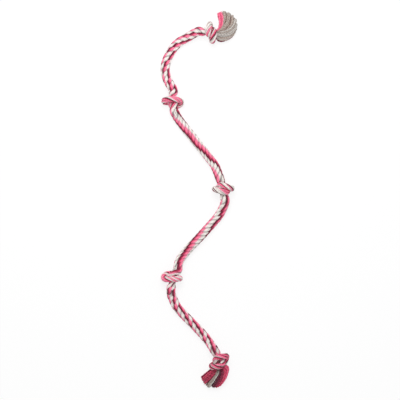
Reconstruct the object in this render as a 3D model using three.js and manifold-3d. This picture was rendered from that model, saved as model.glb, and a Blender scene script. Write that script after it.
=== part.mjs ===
// A rope dog toy: one thick laid rope with five overhand knots, both ends frayed into tassels.
// It lies on a floor in a long wave. Millimetres, +Z up, floor at z = 0, top end towards +Y.
// The rope bends at a ball in the middle of each free stretch, and each tassel swings at its neck.

import * as THREE from 'three';
import { mergeVertices } from 'three/addons/utils/BufferGeometryUtils.js';
import Module from 'manifold-3d';

const wasm = await Module();
wasm.setup();

// Rope
const ropeDiameter = 37;
const ropeSides = 10;
const stepsPerHalf = 4;
const faceGap = 0.3;
const endOverrun = 12;

// Knots
const knotRopeDiameter = 22.4;
const knotSpacing = 25.4;
const knotLeadLength = 50;
const knotStraightEnd = 14;
const knotSides = 8;
const knotHalfSteps = 26;
const bottomKnotLeadLength = 56;
const bottomKnotLengthShare = 1.35;
const floorCutShare = 0.1;

// Bends in the free stretches
const bendAngle = 60;
const ballClearance = 0.9;
const ballSegments = 20;
const bendStartClearance = 6;

// Tassels
const neckDiameter = 25;
const neckLength = 17;
const neckFlareDiameter = 42;
const topNeckOffset = 40;
const bottomNeckOffset = 46;
const tasselSwing = 30;
const tasselStartClearance = 2.5;
const lockSides = 6;
const lockSteps = 5;
const tasselFloorCut = 0.5;

const tasselLocks = {
  top: {
    count: 9, firstAngle: 98, lastAngle: 4, curl: -62, firstReach: 92, lastReach: 62,
    width: 18, height: 26, colour: 0xb9aaa0,
  },
  bottom: {
    count: 8, firstAngle: -70, lastAngle: 24, curl: 48, firstReach: 77, lastReach: 52,
    width: 17, height: 26, colour: 0x8e3a52,
  },
};
const lockRootShare = 0.55;
const lockTipShare = 0.75;
const lockBendShare = 0.62;
const lockSpreadShare = 0.8;

// Half of an overhand knot, from the middle of its front band to where the rope leaves it.
// Shares of the spacing: along the rope, across it, and out of the knot's face.
// A half turn about the last of these axes gives the other half.
const knotHalfShares = [
  [0, 0, 0.9], [-0.3, -0.7, 0.82], [-0.54, -1.25, 0.35], [-0.62, -1.36, -0.35],
  [-0.62, -0.92, -1], [-0.58, -0.15, -1.12], [-0.36, 0.44, -0.72], [0.18, 0.46, -0.2],
  [0.9, 0.18, -0.05], [1.55, 0.02, 0],
];
const knotTaperStartShare = 0.68;
const leanRiseShare = 0.6;

// Where each knot lies, its heading down the rope, how far its first and second lead lean
// from that heading, and whether its back is up
const knots = {
  top_end: { place: [48, 668], heading: 165, lean: [9, 9], backUp: true },
  upper: { place: [-106, 394], heading: -67, lean: [-14, -4], backUp: false },
  middle: { place: [97, 45], heading: -103, lean: [32, 22], backUp: true },
  lower: { place: [-109, -311], heading: -91, lean: [-30, -2], backUp: false },
  bottom_end: { place: [80, -643], heading: -92, lean: [26, 2], backUp: true },
};

// Free stretches from the top end down: their points, the number of the point where they bend,
// and the half that ends in the ball there
const stretches = [
  {
    name: 'stretch_1', from: 'top_end', to: 'upper', bendPoint: 4, ballHalf: 'lower',
    points: [
      [-45, 651], [-80, 631], [-105, 604], [-123, 573], [-134, 541], [-135, 508], [-127, 475],
    ],
  },
  {
    name: 'stretch_2', from: 'upper', to: 'middle', bendPoint: 3, ballHalf: 'lower',
    points: [
      [-85, 328], [-60, 293], [-33, 260], [-8, 228], [17, 198], [42, 167], [64, 136],
    ],
  },
  {
    name: 'stretch_3', from: 'middle', to: 'lower', bendPoint: 3, ballHalf: 'upper',
    points: [
      [97, -30], [77, -65], [51, -96], [24, -126], [-3, -155], [-32, -185], [-58, -215], [-78, -243],
    ],
  },
  {
    name: 'stretch_4', from: 'lower', to: 'bottom_end', bendPoint: 3, ballHalf: 'upper',
    points: [
      [-112, -372], [-104, -396], [-89, -426], [-60, -460], [-30, -490], [-2, -519], [26, -550],
      [48, -578],
    ],
  },
];

const colours = {
  knot: 0xd2728c,
  stretch: 0xe08ba0,
};

const up = new THREE.Vector3(0, 0, 1);
const radians = THREE.MathUtils.degToRad;

function material(colour) {
  return new THREE.MeshStandardMaterial({ color: colour, roughness: 0.9, metalness: 0 });
}

// Solids and geometries

function toSolid(geometry) {
  const bare = geometry.clone();
  bare.deleteAttribute('normal');
  bare.deleteAttribute('uv');
  const merged = mergeVertices(bare);
  return new wasm.Manifold(new wasm.Mesh({
    numProp: 3,
    vertProperties: new Float32Array(merged.attributes.position.array),
    triVerts: new Uint32Array(merged.index.array),
  }));
}

function toGeometry(solid) {
  const mesh = solid.getMesh();
  const geometry = new THREE.BufferGeometry();
  geometry.setAttribute('position', new THREE.BufferAttribute(mesh.vertProperties, 3));
  geometry.setIndex(new THREE.BufferAttribute(mesh.triVerts, 1));
  geometry.computeVertexNormals();
  return geometry;
}

function ball(radius, centre) {
  const sphere = new THREE.SphereGeometry(radius, ballSegments, ballSegments / 2);
  sphere.rotateX(Math.PI / 2);
  sphere.translate(centre.x, centre.y, centre.z);
  return toSolid(sphere);
}

// Cuts a solid flat at the given height
function cutFlat(geometry, solid, height) {
  geometry.computeBoundingBox();
  const box = geometry.boundingBox;
  const depth = box.max.z - box.min.z;
  const slab = new THREE.BoxGeometry(2 * (box.max.x - box.min.x), 2 * (box.max.y - box.min.y), depth);
  slab.translate((box.max.x + box.min.x) / 2, (box.max.y + box.min.y) / 2, height - depth / 2);
  return solid.subtract(toSolid(slab));
}

// Cuts away what lies behind a place, seen along a level heading
function cutBehind(solid, place, heading) {
  const slab = new THREE.BoxGeometry(endOverrun * 3, ropeDiameter * 2, ropeDiameter * 2);
  slab.translate(-endOverrun * 3 / 2, 0, 0);
  slab.rotateZ(heading);
  slab.translate(place.x, place.y, place.z);
  return solid.subtract(toSolid(slab));
}

// A closed tube of rings along a list of points, with its own half width and half height at each
function tube(points, halfWidths, halfHeights, sides) {
  const positions = [];
  const indices = [];
  let side = null;
  points.forEach((point, i) => {
    const tangent = points[Math.min(i + 1, points.length - 1)].clone()
      .sub(points[Math.max(i - 1, 0)]).normalize();
    side = side ?? new THREE.Vector3().crossVectors(up, tangent);
    side = side.clone().addScaledVector(tangent, -side.dot(tangent)).normalize();
    const rise = new THREE.Vector3().crossVectors(tangent, side);
    for (let k = 0; k < sides; k += 1) {
      const angle = (2 * Math.PI * (k + 0.5)) / sides;
      const corner = point.clone()
        .addScaledVector(side, halfWidths[i] * Math.cos(angle))
        .addScaledVector(rise, halfHeights[i] * Math.sin(angle));
      positions.push(corner.x, corner.y, corner.z);
    }
  });
  for (let i = 0; i < points.length - 1; i += 1) {
    for (let k = 0; k < sides; k += 1) {
      const a = i * sides + k;
      const b = i * sides + ((k + 1) % sides);
      indices.push(a, b, b + sides, a, b + sides, a + sides);
    }
  }
  const lastRing = (points.length - 1) * sides;
  for (let k = 1; k < sides - 1; k += 1) {
    indices.push(0, k + 1, k);
    indices.push(lastRing, lastRing + k, lastRing + k + 1);
  }
  const geometry = new THREE.BufferGeometry();
  geometry.setAttribute('position', new THREE.Float32BufferAttribute(positions, 3));
  geometry.setIndex(indices);
  return geometry;
}

// Knots

function knotSizes(name) {
  const isBottom = name === 'bottom_end';
  const depths = knotHalfShares.map((share) => share[2]);
  const under = knots[name].backUp ? Math.max(...depths) : -Math.min(...depths);
  return {
    lead: isBottom ? bottomKnotLeadLength : knotLeadLength,
    lengthShare: isBottom ? bottomKnotLengthShare : 1,
    height: under * knotSpacing + knotRopeDiameter / 2 - floorCutShare * knotRopeDiameter,
  };
}

// The side of an end knot that the tassel hangs on ends in a ball at the neck
function neckOffset(name) {
  return name === 'top_end' ? topNeckOffset : bottomNeckOffset;
}

function tasselSide(name) {
  if (name === 'top_end') return -1;
  return name === 'bottom_end' ? 1 : 0;
}

function leadLength(name, side) {
  return side === tasselSide(name) ? neckOffset(name) : knotSizes(name).lead;
}

function leadDiameter(name, side) {
  return side === tasselSide(name) ? neckDiameter : ropeDiameter;
}

function knotHalf(name, side) {
  const sizes = knotSizes(name);
  const face = knots[name].backUp ? -1 : 1;
  const points = knotHalfShares.map(([along, across, out]) => new THREE.Vector3(
    side * along * knotSpacing * sizes.lengthShare,
    side * face * across * knotSpacing,
    face * out * knotSpacing,
  )).filter((point) => side * point.x < leadLength(name, side) - knotStraightEnd);
  const lead = leadLine(name, side);
  const leaning = points[points.length - 1].applyAxisAngle(up, leanAngle(name, side));
  leaning.z += face * Math.abs(leanAngle(name, side)) * leanRiseShare * knotSpacing;
  points.push(lead.at(knotStraightEnd / 2), lead.at(0));
  return points;
}

function leanAngle(name, side) {
  return radians(knots[name].lean[side < 0 ? 0 : 1]);
}

// The lead's own line in the knot's frame, by distance back from its end
function leadLine(name, side) {
  const direction = new THREE.Vector3(side, 0, 0).applyAxisAngle(up, leanAngle(name, side));
  return { at: (back) => direction.clone().multiplyScalar(leadLength(name, side) - back) };
}

function knotRoute(name) {
  const first = knotHalf(name, -1).reverse();
  const second = knotHalf(name, 1).slice(1);
  const curve = new THREE.CatmullRomCurve3([...first, ...second], false, 'centripetal');
  const points = curve.getSpacedPoints(2 * knotHalfSteps);
  const step = points[0].distanceTo(points[1]);
  points[1].copy(leadLine(name, -1).at(step));
  points[points.length - 2].copy(leadLine(name, 1).at(step));
  return points;
}

// Inside the knot the rope is squeezed, and it swells to its free diameter along its leads
function knotRadii(name, points) {
  const start = knotTaperStartShare * knotSpacing;
  const middle = (points.length - 1) / 2;
  return points.map((point, i) => {
    const side = i < middle ? -1 : 1;
    const fromMiddle = Math.abs(i - middle) / middle;
    const end = leadLength(name, side) * Math.cos(leanAngle(name, side));
    const swell = fromMiddle < 0.5 ? 0 : THREE.MathUtils.smoothstep(side * point.x, start, end);
    return THREE.MathUtils.lerp(knotRopeDiameter, leadDiameter(name, side), swell) / 2;
  });
}

// The least space between two turns of the knot's tube, measured between points of its route
function leastGap(points, radii) {
  const stepLength = points[0].distanceTo(points[1]);
  let least = Infinity;
  points.forEach((a, i) => {
    points.forEach((b, j) => {
      const alongRope = (j - i) * stepLength;
      if (alongRope > 2 * knotRopeDiameter) {
        least = Math.min(least, a.distanceTo(b) - radii[i] - radii[j]);
      }
    });
  });
  return least;
}

function makeKnot(name) {
  const sizes = knotSizes(name);
  const points = knotRoute(name);
  const radii = knotRadii(name, points);
  console.log(`${name}_knot: least gap to itself ${leastGap(points, radii).toFixed(2)} mm`);
  const geometry = tube(points, radii, radii, knotSides);
  let solid = cutFlat(geometry, toSolid(geometry), -sizes.height);
  const side = tasselSide(name);
  if (side !== 0) {
    solid = solid.add(ball(neckDiameter / 2, leadLine(name, side).at(0)));
  }
  const mesh = new THREE.Mesh(toGeometry(solid), material(colours.knot));
  mesh.name = `${name}_knot`;
  mesh.position.copy(alongLead(name, 1, 0));
  mesh.rotation.z = radians(knots[name].heading);
  return mesh;
}

// The heading of the rope where it leaves a knot on one side
function leadHeading(name, side) {
  return radians(knots[name].heading) + leanAngle(name, side) + (side < 0 ? Math.PI : 0);
}

// A point on a knot's lead, that far from the knot's centre
function alongLead(name, side, distance) {
  const [x, y] = knots[name].place;
  const heading = leadHeading(name, side);
  return new THREE.Vector3(
    x + distance * Math.cos(heading),
    y + distance * Math.sin(heading),
    knotSizes(name).height,
  );
}

// Free stretches

const floorHeight = ropeDiameter / 2 - floorCutShare * ropeDiameter;

// The rope comes down from a knot to the floor over its first points, and climbs again at the end
function stretchRoute({ from, to, points }) {
  const start = alongLead(from, 1, knotSizes(from).lead);
  const end = alongLead(to, -1, knotSizes(to).lead);
  const last = points.length - 1;
  const inner = points.map(([x, y], i) => {
    const nearStart = i === 0 ? (start.z - floorHeight) / 3 : 0;
    const nearEnd = i === last ? (end.z - floorHeight) / 3 : 0;
    return new THREE.Vector3(x, y, floorHeight + nearStart + nearEnd);
  });
  const before = alongLead(from, 1, knotSizes(from).lead / 2);
  const after = alongLead(to, -1, knotSizes(to).lead / 2);
  return [before, start, ...inner, end, after];
}

function routePiece(route, first, last) {
  const curve = new THREE.CatmullRomCurve3(route, false, 'centripetal');
  const segments = route.length - 1;
  const samples = [];
  for (let i = 0; i <= stepsPerHalf; i += 1) {
    samples.push(curve.getPoint((first + ((last - first) * i) / stepsPerHalf) / segments));
  }
  return samples;
}

// Moves the start of a line of points along itself by a distance
function trimStart(points, distance) {
  const direction = points[1].clone().sub(points[0]).normalize();
  return [points[0].clone().addScaledVector(direction, distance), ...points.slice(1)];
}

function ropeSection() {
  const corners = [];
  for (let k = 0; k < ropeSides; k += 1) {
    const angle = (2 * Math.PI * (k + 0.5)) / ropeSides;
    corners.push(new THREE.Vector2(Math.cos(angle), Math.sin(angle)).multiplyScalar(ropeDiameter / 2));
  }
  return new THREE.Shape(corners);
}

function ropeTube(points) {
  const path = new THREE.CatmullRomCurve3(points, false, 'centripetal');
  return new THREE.ExtrudeGeometry(ropeSection(), {
    steps: stepsPerHalf, extrudePath: path, bevelEnabled: false,
  });
}

// One half of a stretch, from a knot's lead to the bend. The half that carries ends in a ball,
// and the carried half has a cup round it.
function makeHalf(name, knotToBend, carries, knotName, side) {
  const bend = knotToBend[knotToBend.length - 1];
  const ballRadius = ropeDiameter / 2;
  let points = trimStart(knotToBend, -endOverrun);
  if (!carries) {
    const start = ballRadius * Math.tan(radians(bendAngle / 2)) + bendStartClearance;
    points = trimStart(points.reverse(), start).reverse();
  }
  const geometry = ropeTube(points);
  let solid = toSolid(geometry);
  solid = carries
    ? solid.add(ball(ballRadius, bend))
    : solid.subtract(ball(ballRadius + ballClearance, bend));
  solid = cutFlat(geometry, solid, 0);
  const face = alongLead(knotName, side, knotSizes(knotName).lead + faceGap);
  solid = cutBehind(solid, face, leadHeading(knotName, side));
  const mesh = new THREE.Mesh(toGeometry(solid), material(colours.stretch));
  mesh.geometry.translate(-bend.x, -bend.y, -bend.z);
  mesh.position.copy(bend);
  mesh.name = name;
  return mesh;
}

function makeStretch(stretch) {
  const route = stretchRoute(stretch);
  const bendIndex = stretch.bendPoint + 2;
  const upperHalf = routePiece(route, 1, bendIndex);
  const lowerHalf = routePiece(route, bendIndex, route.length - 2).reverse();
  return [
    makeHalf(`${stretch.name}_upper_half`, upperHalf, stretch.ballHalf === 'upper', stretch.from, 1),
    makeHalf(`${stretch.name}_lower_half`, lowerHalf, stretch.ballHalf === 'lower', stretch.to, -1),
  ];
}

// Tassels

// Locks of yarn fan out from the neck and curl over to one side, down to the floor.
// In the neck's own frame X runs out of the knot.
function makeLock(locks, share, neckHeight) {
  const { firstAngle, lastAngle, firstReach, lastReach, curl, width, height } = locks;
  const angle = radians(THREE.MathUtils.lerp(firstAngle, lastAngle, share));
  const bendAt = angle + radians(curl * share);
  const reach = THREE.MathUtils.lerp(firstReach, lastReach, share);
  const rootSide = Math.sign(firstAngle) * (1 - 2 * share) * lockSpreadShare * neckDiameter / 2;
  const tipHeight = (lockTipShare * height) / 2 - tasselFloorCut - neckHeight;
  const curve = new THREE.QuadraticBezierCurve3(
    new THREE.Vector3(neckLength / 2, rootSide, 0),
    new THREE.Vector3(Math.cos(bendAt), Math.sin(bendAt), 0).multiplyScalar(lockBendShare * reach)
      .setZ(tipHeight / 2),
    new THREE.Vector3(Math.cos(angle), Math.sin(angle), 0).multiplyScalar(reach).setZ(tipHeight),
  );
  const points = curve.getSpacedPoints(lockSteps);
  const sizeShares = points.map(() => 1);
  sizeShares[0] = lockRootShare;
  sizeShares[lockSteps] = lockTipShare;
  const halfWidths = sizeShares.map((sizeShare) => (sizeShare * width) / 2);
  const halfHeights = sizeShares.map((sizeShare) => (sizeShare * height) / 2);
  return tube(points, halfWidths, halfHeights, lockSides);
}

function makeTassel(end, knotName) {
  const locks = tasselLocks[end];
  const side = tasselSide(knotName);
  const neckHeight = knotSizes(knotName).height;
  const start = (neckDiameter / 2) * Math.tan(radians(tasselSwing / 2)) + tasselStartClearance;
  const neckPoints = [new THREE.Vector3(start, 0, 0), new THREE.Vector3(neckLength, 0, 0)];
  const neckRadii = [neckDiameter / 2, neckFlareDiameter / 2];
  let solid = toSolid(tube(neckPoints, neckRadii, neckRadii, ropeSides));
  for (let i = 0; i < locks.count; i += 1) {
    solid = solid.add(toSolid(makeLock(locks, i / (locks.count - 1), neckHeight)));
  }
  solid = solid.subtract(ball(neckDiameter / 2 + ballClearance, new THREE.Vector3()));
  solid = cutFlat(toGeometry(solid), solid, -neckHeight);
  const mesh = new THREE.Mesh(toGeometry(solid), material(locks.colour));
  mesh.name = `${end}_tassel`;
  mesh.position.copy(alongLead(knotName, side, neckOffset(knotName)));
  mesh.rotation.z = leadHeading(knotName, side);
  return mesh;
}

const toy = new THREE.Group();
Object.keys(knots).forEach((name) => toy.add(makeKnot(name)));
stretches.forEach((stretch) => toy.add(...makeStretch(stretch)));
toy.add(makeTassel('top', 'top_end'));
toy.add(makeTassel('bottom', 'bottom_end'));

export default toy;
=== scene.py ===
"""A rope dog toy: one thick laid rope with five overhand knots and a frayed tassel at each end.

The rope is made as a real one is laid. Dyed yarns twist one way into strands, and four strands
twist the other way round one line, which runs through every knot from tassel to tassel.
Metres, +Z up, floor at z = 0, top end towards +Y.
"""

from __future__ import annotations

import logging
import math
from collections.abc import Sequence
from dataclasses import dataclass, field, replace
from enum import Enum

import bmesh
import bpy
import numpy as np
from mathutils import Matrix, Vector

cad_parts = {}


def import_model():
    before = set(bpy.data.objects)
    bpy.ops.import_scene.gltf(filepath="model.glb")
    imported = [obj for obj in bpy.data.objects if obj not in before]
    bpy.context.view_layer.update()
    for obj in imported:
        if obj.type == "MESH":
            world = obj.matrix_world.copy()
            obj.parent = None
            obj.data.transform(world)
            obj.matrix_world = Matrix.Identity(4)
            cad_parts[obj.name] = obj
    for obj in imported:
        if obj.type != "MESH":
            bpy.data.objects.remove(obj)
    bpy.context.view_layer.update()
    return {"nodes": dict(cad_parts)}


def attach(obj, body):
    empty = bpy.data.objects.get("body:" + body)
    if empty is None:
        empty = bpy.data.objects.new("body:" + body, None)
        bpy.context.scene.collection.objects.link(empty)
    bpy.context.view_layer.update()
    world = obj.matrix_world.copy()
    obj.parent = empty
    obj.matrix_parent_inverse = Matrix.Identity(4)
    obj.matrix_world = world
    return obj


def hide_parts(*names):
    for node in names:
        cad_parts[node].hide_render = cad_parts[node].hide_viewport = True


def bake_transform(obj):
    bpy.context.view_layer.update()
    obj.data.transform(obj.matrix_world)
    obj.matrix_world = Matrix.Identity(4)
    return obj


LOG = logging.getLogger("rope_toy")
TURN = 2 * math.pi
TINY = 1e-6
FLOOR_SOFTNESS = 0.002
ELLIPSE_POINTS = 241
WANDER_WAVES = 3
WANDER_PACES = (0.6, 1.7)

Point2 = tuple[float, float]
Colour = tuple[float, float, float, float]


class Face(Enum):
    """Which face of an overhand knot is up: its straight band, or the crossing behind it."""

    BAND = 1
    CROSSING = -1


class Dye(Enum):
    """The dyes of the yarns, as sRGB bytes."""

    WHITE = (243, 237, 231)
    GREY = (222, 220, 213)
    BLUSH = (250, 214, 220)
    PINK = (255, 138, 170)
    ROSE = (246, 98, 138)
    CRIMSON = (212, 66, 100)
    MAROON = (148, 38, 72)
    WINE = (104, 28, 52)
    ASH = (204, 198, 192)
    BEIGE = (186, 170, 160)
    BROWN = (142, 108, 98)
    CHARCOAL = (66, 40, 44)

    def linear(self) -> Colour:
        """The dye as a linear colour."""
        return tuple(srgb_to_linear(byte) for byte in self.value) + (1.0,)


def srgb_to_linear(byte: int) -> float:
    """Turns one sRGB byte into a linear share."""
    share = byte / 255
    return share / 12.92 if share <= 0.04045 else ((share + 0.055) / 1.055) ** 2.4


DYES = tuple(Dye)


# Sizes and places


@dataclass(frozen=True)
class RopeSizes:
    """The rope's own sizes, in metres."""

    diameter: float = 0.037
    knot_diameter: float = 0.0235
    neck_diameter: float = 0.016
    sunk: float = 0.0015
    lay: float = 0.085
    knot_lay: float = 0.10
    strands: int = 4
    step: float = 0.0025
    points_per_span: int = 24
    knot_taper: Point2 = (0.016, 0.036)
    strand_share: float = 0.87
    flat_share: float = 0.90
    yarn_share: float = 0.235
    yarn_resolution: int = 2
    yarn_turns: float = 3.0
    joint_overlap: int = 1

    @property
    def floor_height(self) -> float:
        """The height of the middle of a free stretch."""
        return self.diameter / 2 - self.sunk


def for_side(pair: Point2, side: int) -> float:
    """The first of a pair on the side of a knot that the rope comes from, and then the second."""
    return pair[0 if side < 0 else 1]


@dataclass(frozen=True)
class Knot:
    """Where an overhand knot lies, how it is turned and what it rides on.

    Headings, leans and swings are in degrees. A pair is for the side that the rope comes from and
    for the side that it leaves on. There is a row of colour turns for each pass of the rope over
    the face that is up, with a turn of the dyes for each strand.
    """

    name: str
    body: str
    place: Point2
    heading: float
    lean: Point2
    face: Face
    leads: Point2
    colour_turns: tuple[tuple[float, ...], ...]
    length_share: float = 1.0
    width_share: float = 1.0
    slant_shares: Point2 = (1.0, 1.0)
    inner_share: float = 1.0
    tip_share: float = 0.0
    swing: Point2 = (0, 0)

    def lead_direction(self, side: int) -> np.ndarray:
        """The level direction in which the rope leaves the knot on one side."""
        turn = math.radians(self.heading + for_side(self.lean, side))
        return np.array([side * math.cos(turn), side * math.sin(turn), 0.0])

    def middle(self) -> np.ndarray:
        """The knot's own middle."""
        return np.array([*self.place, KNOT_HEIGHTS[self.face]])

    def lead_end(self, side: int) -> np.ndarray:
        """Where the knot's lead ends on one side."""
        return self.middle() + self.lead_direction(side) * for_side(self.leads, side)


@dataclass(frozen=True)
class Stretch:
    """A free stretch of rope between two knots, with its points from the top end down.

    The rows of colour turns are evenly spaced along it, with a turn of the dyes for each strand.
    """

    name: str
    bodies: tuple[str, str]
    points: tuple[Point2, ...]
    first_stitch: float
    colour_turns: tuple[tuple[float, ...], ...]
    yarn_ease: float = 0.0

    @property
    def nodes(self) -> tuple[str, str]:
        """The two solids that this stretch stands for."""
        return (f"{self.name}_upper_half", f"{self.name}_lower_half")


# How high a knot's middle is when the rope in it rests on the floor
KNOT_HEIGHTS = {Face.BAND: 0.03741, Face.CROSSING: 0.03182}

KNOT_SPACING = 0.0254
KNOT_PULL_SHARE = 0.88
KNOT_STRAIGHT_END = 0.020
KNOT_SLANT_POINTS = 3
KNOT_PASS_POINT = 5
KNOT_INNER_POINTS = slice(6, 8)
LEAN_RISE_SHARE = 0.6
STRETCH_RISE_STEPS = 3

# Half of an overhand knot, from the middle of its band to where the rope leaves it.
# Shares of the spacing: along the rope, across it, and out of the knot's face.
KNOT_HALF_SHARES = (
    (0, 0, 0.9),
    (-0.3, -0.7, 0.82),
    (-0.54, -1.25, 0.35),
    (-0.62, -1.36, -0.35),
    (-0.62, -0.92, -1),
    (-0.58, -0.15, -1.12),
    (-0.36, 0.44, -0.72),
    (0.18, 0.46, -0.2),
    (0.9, 0.18, -0.05),
    (1.55, 0.02, 0),
)

KNOTS = (
    Knot(
        "top_end", "top_end_part", (0.048, 0.668), 165, (9, 9), Face.CROSSING, (0.040, 0.050),
        ((0.78, 0.45, 0.45, 0.70), (0.10, 0.14, 0.10, 0.60)),
    ),
    Knot(
        "upper", "upper_part", (-0.106, 0.394), -67, (-24, -10), Face.BAND, (0.050, 0.050),
        ((0.68, 0.94, 0.74, 0.96),), swing=(22, 15), tip_share=-0.4,
    ),
    Knot(
        "middle", "middle_part", (0.097, 0.045), -112, (41, 31), Face.CROSSING, (0.050, 0.050),
        ((0.82, 0.40, 0.10, 0.95), (0.82, 0.50, 0.45, 0.58)), inner_share=1.7,
    ),
    Knot(
        "lower", "lower_part", (-0.109, -0.311), -72, (-49, -21), Face.BAND, (0.050, 0.050),
        ((0.70, 0.86, 0.68, 0.74),), slant_shares=(0.8, 0.6), swing=(28, 0), tip_share=0.2,
    ),
    Knot(
        "bottom_end", "bottom_end_part", (0.080, -0.643), -92, (26, 2), Face.CROSSING,
        (0.056, 0.046), ((0.10, 0.46, 0.95, 0.06), (0.95, 0.45, 0.12, 0.84)),
        length_share=1.55, width_share=0.95, slant_shares=(1.0, -1.6), inner_share=1.4,
    ),
)

STRETCHES = (
    Stretch(
        "stretch_1", ("top_end_part", "upper_part"),
        (
            (-0.045, 0.651), (-0.080, 0.631), (-0.105, 0.604), (-0.123, 0.573),
            (-0.134, 0.541), (-0.134, 0.508), (-0.123, 0.475),
        ),
        -0.21,
        (
            (0.58, 0.44, 0.10, 0.78), (0.56, 0.40, 0.12, 0.80), (0.48, 0.38, 0.10, 0.86),
            (0.50, 0.40, 0.10, 0.90), (0.48, 0.42, 0.12, 0.88),
        ),
    ),
    Stretch(
        "stretch_2", ("upper_part", "middle_part"),
        (
            (-0.085, 0.328), (-0.060, 0.293), (-0.033, 0.260), (-0.008, 0.228),
            (0.017, 0.198), (0.042, 0.167), (0.064, 0.136),
        ),
        -0.015,
        (
            (0.47, 0.52, 0.50, 0.46), (0.84, 0.88, 0.86, 0.83), (0.92, 0.96, 0.94, 0.91),
            (1.18, 1.24, 1.22, 1.16), (1.70, 1.76, 1.72, 1.68),
        ),
        yarn_ease=0.5,
    ),
    Stretch(
        "stretch_3", ("middle_part", "lower_part"),
        (
            (0.097, -0.030), (0.077, -0.065), (0.051, -0.096), (0.024, -0.126),
            (-0.003, -0.155), (-0.032, -0.185), (-0.058, -0.215), (-0.078, -0.243),
        ),
        -0.10,
        (
            (0.40, 0.30, 0.16, 0.12), (0.42, 0.30, 0.22, 0.30), (0.66, 0.68, 0.60, 0.64),
            (0.98, 0.96, 0.95, 0.99), (1.18, 1.22, 1.21, 1.16),
        ),
        yarn_ease=0.5,
    ),
    Stretch(
        "stretch_4", ("lower_part", "bottom_end_part"),
        (
            (-0.112, -0.372), (-0.104, -0.396), (-0.089, -0.426), (-0.060, -0.460),
            (-0.030, -0.490), (-0.002, -0.519), (0.026, -0.550), (0.048, -0.578),
        ),
        0.155,
        (
            (0.46, 0.42, 0.14, 0.82), (0.46, 0.38, 0.14, 0.84), (0.44, 0.34, 0.13, 0.82),
            (0.46, 0.32, 0.14, 0.80), (0.42, 0.26, 0.12, 0.80),
        ),
    ),
)

# The dyes of a strand's outer yarns, once round it
STRAND_DYES = (
    Dye.CRIMSON, Dye.MAROON, Dye.WINE, Dye.MAROON, Dye.GREY, Dye.WHITE, Dye.WHITE,
    Dye.WHITE, Dye.WHITE, Dye.BLUSH, Dye.PINK, Dye.PINK, Dye.PINK, Dye.ROSE,
)


# Lines


def catmull_rom(controls: np.ndarray, per_span: int) -> np.ndarray:
    """Runs a smooth line through points, evenly paced in each span.

    Args:
        controls: The points, one a row.
        per_span: How many steps each span gets.

    Returns:
        The line's points, with every control point among them.
    """
    first = 2 * controls[0] - controls[1]
    last = 2 * controls[-1] - controls[-2]
    points = np.vstack([first, controls, last])
    gaps = np.linalg.norm(np.diff(points, axis=0), axis=1) ** 0.5
    share = np.linspace(0, 1, per_span, endpoint=False)[:, None]
    spans = []
    for i in range(1, len(points) - 2):
        before, start, end, after = points[i - 1 : i + 3]
        gap_before, gap, gap_after = gaps[i - 1 : i + 2]
        leave = (start - before) / gap_before - (end - before) / (gap_before + gap)
        leave = (leave + (end - start) / gap) * gap
        arrive = (end - start) / gap - (after - start) / (gap + gap_after)
        arrive = (arrive + (after - end) / gap_after) * gap
        square, cube = share**2, share**3
        spans.append(
            start
            + leave * share
            + (3 * (end - start) - 2 * leave - arrive) * square
            + (2 * (start - end) + leave + arrive) * cube
        )
    return np.vstack([*spans, controls[-1:]])


def distances(line: np.ndarray) -> np.ndarray:
    """How far along a line each of its points is."""
    return np.concatenate([[0], np.cumsum(np.linalg.norm(np.diff(line, axis=0), axis=1))])


def at_distances(line: np.ndarray, along: np.ndarray, wanted: np.ndarray) -> np.ndarray:
    """The points of a line at the wanted distances along it."""
    return np.stack([np.interp(wanted, along, line[:, k]) for k in range(line.shape[1])], axis=1)


def unit(vectors: np.ndarray) -> np.ndarray:
    """The vectors at length one."""
    return vectors / np.linalg.norm(vectors, axis=-1, keepdims=True)


def tangents(line: np.ndarray) -> np.ndarray:
    """The direction of a line at each of its points."""
    return unit(np.gradient(line, axis=0))


def untwisted_frames(line: np.ndarray) -> tuple[np.ndarray, np.ndarray, np.ndarray]:
    """Frames that follow a line without turning about it.

    Args:
        line: The points of the line, one a row.

    Returns:
        The directions along the line, across it and square to both.
    """
    along = tangents(line)
    across = np.zeros_like(line)
    current = np.array([0.0, 0.0, 1.0])
    for i, direction in enumerate(along):
        current = unit(current - current.dot(direction) * direction)
        across[i] = current
    return along, across, np.cross(along, across)


def smooth_share(values: np.ndarray, start: float, end: float) -> np.ndarray:
    """0 before start and 1 after end, with a smooth rise between."""
    share = np.clip((values - start) / (end - start), 0, 1)
    return share * share * (3 - 2 * share)


def nearest_turn(angle: float, near: float) -> float:
    """The same angle, by whole turns, that lies nearest to another."""
    return angle + TURN * round((near - angle) / TURN)


def even_on_ellipse(turns: np.ndarray, flatness: float) -> np.ndarray:
    """Spreads places evenly round an ellipse.

    Args:
        turns: How far round each place is, as a share of the way.
        flatness: The ellipse's half width over its half depth.

    Returns:
        The angles whose cosine and sine, times the two halves, give the places.
    """
    angle = np.linspace(0, TURN, ELLIPSE_POINTS)
    along = distances(np.column_stack([np.cos(angle), flatness * np.sin(angle)]))
    return np.interp(turns % 1, along / along[-1], angle)


def wander(
    rng: np.random.Generator, rows: int, along: np.ndarray, wavelength: float, amount: float
) -> np.ndarray:
    """Smooth chance along a line, with its own row for each yarn.

    Args:
        rng: The source of chance.
        rows: How many yarns there are.
        along: The distances along the line.
        wavelength: How far apart the ups and downs lie.
        amount: About how large they are.

    Returns:
        One row of values for each yarn.
    """
    phase = rng.uniform(0, TURN, (rows, WANDER_WAVES, 1))
    pace = rng.uniform(*WANDER_PACES, (rows, WANDER_WAVES, 1))
    waves = np.sin(TURN * pace * along / wavelength + phase)
    return amount * waves.mean(axis=1) * math.sqrt(WANDER_WAVES)


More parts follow.
